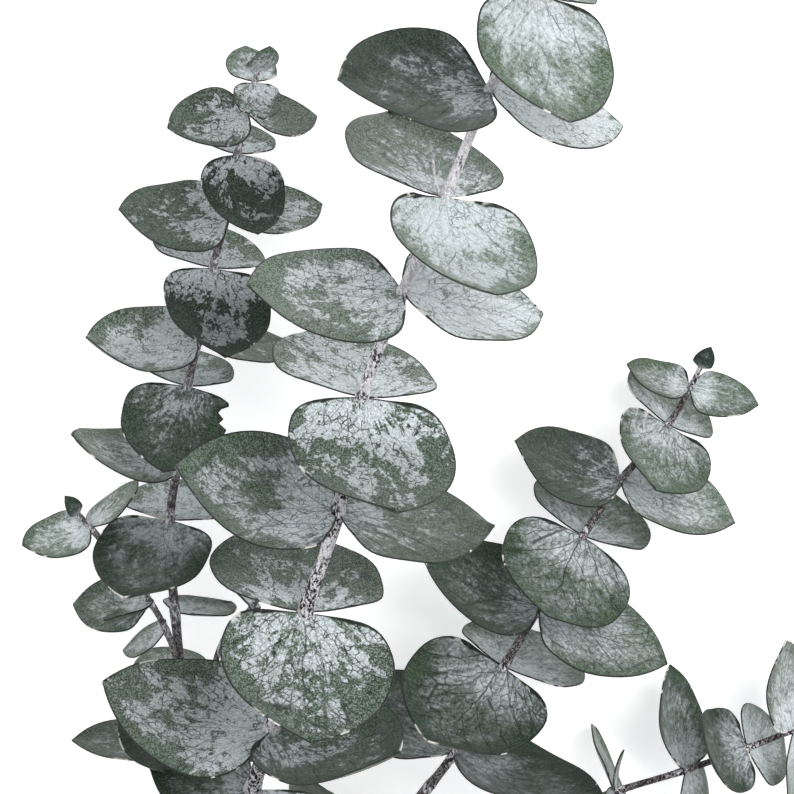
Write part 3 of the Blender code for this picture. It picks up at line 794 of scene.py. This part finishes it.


# The left spray. A thin upright side stem from low on the leader, with leaves that shrink
# evenly to its bud. Those nearest the eye are the darkest of the branch, partly by painted shade.
LEFT_STEM = {
    "fork": (222, 906, 44, 1.6),
    "l13": (213, 840, 38, 1.6),
    "l12": (196, 742, 36, 1.5),
    "l11": (184, 685, 36, 1.5),
    "l10": (175, 612, 36, 1.4),
    "l9": (170, 520, 36, 1.3),
    "l8": (180, 452, 36, 1.3),
    "l7": (188, 386, 36, 1.2),
    "l6": (198, 341, 35, 1.2),
    "l5": (213, 268, 33, 1.15),
    "l4": (228, 211, 33, 1.1),
    "l3": (237, 154, 33, 1.0),
    "l2": (248, 113, 34, 0.95),
    "l1": (255, 82, 35, 0.85),
    "bud": (259, 68, 36, 0.7),
}
LEFT_LEAVES = (
    ("l1", 263, 119, 14, 14, 1, 0, 0.52, 0.4, 0.55, 0.6),
    ("bud", 270, 46, 10, 9, 1, 0, 0.45, 0.1, 0.4, 0.25),
    ("l1", 246, 46, 14, 15, -1, 0, 0.48, 0.4, 0.45, 0.25),
    ("l2", 168, 128, 24, 24, 1, -9, 0.38, 0.3, 0.7, 0.9),
    ("l2", 317, 116, 21, 22, -1, 4, 0.36, 0.15, 0.65, 0.8),
    ("l3", 258, 234, 27, 25, 1, 0, 0.46, 0.2, 1.0, 1),
    ("l3", 228, 120, 22, 24, -1, 0, 0.48, 0.1, 0.4, 1),
    ("l4", 119, 209, 32, 31, 1, -13, 0.5, 0.3, 0.75, 0.9),
    ("l4", 322, 204, 29, 28, -1, 6, 0.54, 0.3, 0.3, 0.8),
    ("l5", 225, 357, 32, 32, 1, 0, 0.54, 0.2, 1.0, 1),
    ("l5", 202, 221, 29, 33, -1, 0, 0.64, 0.2, 0.15, 1),
    ("l6", 86, 337, 33, 34, 1, -10, 0.62, 0.3, 0.35, 0.6),
    ("l6", 292, 342, 31, 30, -1, 0, 0.40, 0.2, 0.55, 0.6),
    ("l7", 163, 472, 34, 33, 1, 0, 0.34, 0.1, 0.74, 0.5),
    ("l7", 186, 346, 30, 27, -1, 0, 0.62, 0.1, 0.2, 0.8),
    ("l8", 72, 434, 34, 31, 1, -2, 0.48, 0.2, 0.4, 0.3),
    ("l8", 268, 478, 32, 31, -1, 0, 0.50, 0.1, 0.35, 0.3),
    ("l9", 124, 598, 36, 34, 1, 0, 0.38, 0.1, 0.88, 0.2),
    ("l9", 190, 478, 36, 31, -1, 0, 0.64, 0.1, 0.2, 0.7),
    ("l10", 232, 602, 25, 20, -1, 0, 0.50, 0.1, 0.4, 0.25),
    ("l11", 165, 772, 36, 36, 1, 0, 0.34, 0.1, 0.85, 0.25),
    ("l11", 152, 648, 32, 22, -1, 0, 0.50, 0.1, 0.4, 0.25),
    ("l12", 72, 740, 36, 30, -1, 0, 0.40, 0.1, 0.6, 0.25),
    ("l12", 308, 735, 34, 30, -1, 0, 0.40, 0.1, 0.7, 0.25),
)
grow_stem("left_stem", LEFT_STEM, side_bark, "left_spray")

# One leaf is gnawed along one side: (share of its length, share of its half width left)
GNAWED_EDGE = (
    (0.0, 1.0), (0.06, 0.98), (0.11, 0.90), (0.15, 0.72), (0.20, 0.66), (0.24, 0.78), (0.28, 0.74),
    (0.33, 0.69), (0.38, 0.86), (0.42, 0.80), (0.46, 0.90), (0.52, 0.88), (0.58, 1.0), (1.0, 1.0),
)
grow_leaves("left_leaves", LEFT_STEM, LEFT_LEAVES, "left_spray", bites={13: GNAWED_EDGE})


# The right spray. It leaves the foot of the leader and climbs to the right. Its leaves show
# their dark side veins and net best, under a thin even wax.
RIGHT_STEM = {
    "fork": (211, 948, 31, 1.7),
    "r10": (300, 905, 29, 1.7),
    "r9": (370, 850, 31, 1.6),
    "r8": (430, 785, 34, 1.5),
    "r7": (455, 752, 35, 1.5),
    "r6": (504, 667, 34, 1.35),
    "r5": (540, 606, 34, 1.3),
    "r4": (583, 536, 31, 1.2),
    "r3": (621, 480, 28, 1.15),
    "r2": (668, 425, 25, 1.05),
    "r1": (690, 388, 25, 0.9),
    "bud": (702, 364, 26, 0.75),
}
RIGHT_LEAVES = (
    ("bud", 711, 347, 8, 6, 1, 0, 0.2, 0.1, 0.9, 0.25),
    ("r1", 627, 364, 20, 18, 1, -7, 0.38, 0.3, 0.55, 0.1),
    ("r1", 758, 405, 20, 19, -1, 16, 0.40, 0.3, 0.5, 0.1),
    ("r2", 656, 490, 29, 32, 1, 0, 0.36, 0.5, 0.45, 0.1),
    ("r2", 672, 374, 26, 31, -1, 0, 0.42, 0.2, 0.5, 0.1),
    ("r3", 515, 441, 34, 34, 1, -20, 0.24, 0.9, 0.85, 0.4),
    ("r3", 735, 523, 36, 34, -1, 20, 0.56, 0.6, 0.3, 0.1),
    ("r4", 548, 616, 38, 41, 1, 0, 0.37, 1.0, 0.5, 0.1),
    ("r4", 602, 484, 33, 38, -1, -6, 0.42, 0.4, 0.5, 0.1),
    ("r5", 424, 560, 38, 38, 1, -18, 0.3, 0.9, 0.72, 0.2),
    ("r5", 667, 664, 41, 39, -1, 18, 0.5, 1.0, 0.35, 0.1),
    ("r6", 427, 741, 42, 44, 1, 0, 0.31, 1.0, 0.7, 0.1),
    ("r6", 553, 636, 33, 40, -1, -9, 0.50, 0.3, 0.4, 0.1),
    ("r7", 364, 672, 42, 40, -1, -22, 0.34, 0.3, 0.8, 0.1),
    ("r7", 604, 800, 47, 44, 1, 0, 0.28, 0.3, 1.0, 0.1),
    ("r9", 300, 775, 38, 36, -1, 0, 0.28, 0.3, 1.0, 0.1),
)
grow_stem("right_stem", RIGHT_STEM, right_bark, "right_spray")
grow_leaves("right_leaves", RIGHT_STEM, RIGHT_LEAVES, "right_spray")


# The low right spray. A thin side stem of the right spray that runs out flat to the right,
# with small leaves held upright across it, nearly edge on to the eye.
LOW_STEM = {
    "fork": (352, 866, 30, 1.3),
    "k5": (400, 870, 29, 1.3),
    "k4": (480, 846, 28, 1.2),
    "k3": (615, 792, 28, 1.1),
    "k2": (686, 770, 29, 1.05),
    "k1": (747, 748, 29, 1.0),
    "k0": (794, 730, 30, 0.9),
    "top": (840, 712, 31, 0.8),
    "bud": (860, 704, 32, 0.7),
}
LOW_LEAVES = (
    ("top", 870, 676, 12, 9, 1, 0, 0.42, 0.2, 0.5, 0.25),
    ("top", 862, 735, 12, 9, -1, 0, 0.42, 0.2, 0.5, 0.25),
    ("k0", 786, 640, 29, 26, 1, -22, 0.50, 0.3, 0.4, 0.1),
    ("k0", 800, 800, 27, 25, -1, 22, 0.50, 0.3, 0.4, 0.1),
    ("k1", 707, 749, 27, 27, 1, 0, 0.32, 0.3, 0.85, 0.1),
    ("k1", 784, 738, 27, 26, -1, 0, 0.58, 0.3, 0.3, 0.1),
    ("k2", 670, 665, 31, 29, 1, -18, 0.42, 0.3, 0.7, 0.1),
    ("k2", 705, 850, 29, 28, -1, 18, 0.46, 0.3, 0.5, 0.1),
    ("k3", 630, 872, 27, 26, 1, 0, 0.42, 0.3, 0.5, 0.1),
    ("k3", 595, 727, 28, 24, -1, 0, 0.48, 0.3, 0.4, 0.1),
    ("k3", 624, 750, 13, 8, 1, 0, 0.44, 0.1, 0.5, 0.1),
    ("k4", 470, 930, 33, 31, 1, 0, 0.42, 0.3, 0.5, 0.1),
    ("bud", 870, 698, 7, 5, 1, 0, 0.3, 0.1, 0.8, 0.25),
)
grow_stem("low_right_stem", LOW_STEM, right_bark, "low_right_spray")
grow_leaves("low_right_leaves", LOW_STEM, LOW_LEAVES, "low_right_spray")


# The left shoot. A young shoot in the axil of the left spray, which leans out to the left. It
# has a few small pale leaves and an unopened bud.
SHOOT_STEM = {
    "fork": (182, 676, 36, 1.1),
    "a3": (166, 630, 40, 1.0),
    "a2": (150, 602, 42, 1.0),
    "a1": (90, 527, 38, 0.9),
    "bud": (76, 511, 37.5, 0.7),
}
SHOOT_LEAVES = (
    ("bud", 65, 496, 8, 5, 1, 0, 0.3, 0.1, 0.8, 0.25),
    ("a1", 22, 545, 21, 19, 1, -36, 0.5, 0.1, 0.3, 0.25),
    ("a1", 138, 480, 20, 17, -1, 10, 0.4, 0.1, 0.25, 0.25),
    ("a2", 104, 620, 17, 14, 1, 0, 0.44, 0.1, 0.5, 0.25),
    ("a2", 73, 604, 24, 22, -1, -20, 0.46, 0.1, 0.5, 0.25),
    ("a3", 123, 650, 18, 14, -1, 0, 0.50, 0.1, 0.4, 0.25),
)
grow_stem("left_shoot_stem", SHOOT_STEM, side_bark, "left_shoot")
grow_leaves("left_shoot_leaves", SHOOT_STEM, SHOOT_LEAVES, "left_shoot")


# The back shoot. A second young shoot behind the left spray, mostly hidden by its leaves. It
# has one small pair and a bud.
BACK_STEM = {
    "fork": (195, 738, 36, 1.0),
    "c3": (211, 680, 29, 1.0),
    "c2": (224, 640, 28, 0.9),
    "c1": (252, 607, 24, 0.8),
    "bud": (268, 588, 22, 0.7),
}
BACK_LEAVES = (
    ("c1", 300, 640, 20, 18, 1, 0, 0.46, 0.1, 0.5, 0.25),
    ("c1", 222, 570, 18, 16, -1, 0, 0.48, 0.1, 0.4, 0.25),
    ("bud", 276, 580, 7, 5, 1, 0, 0.3, 0.1, 0.8, 0.25),
)
grow_stem("back_shoot_stem", BACK_STEM, side_bark, "back_shoot")
grow_leaves("back_shoot_leaves", BACK_STEM, BACK_LEAVES, "back_shoot")

bpy.data.objects.remove(blade, do_unlink=True)
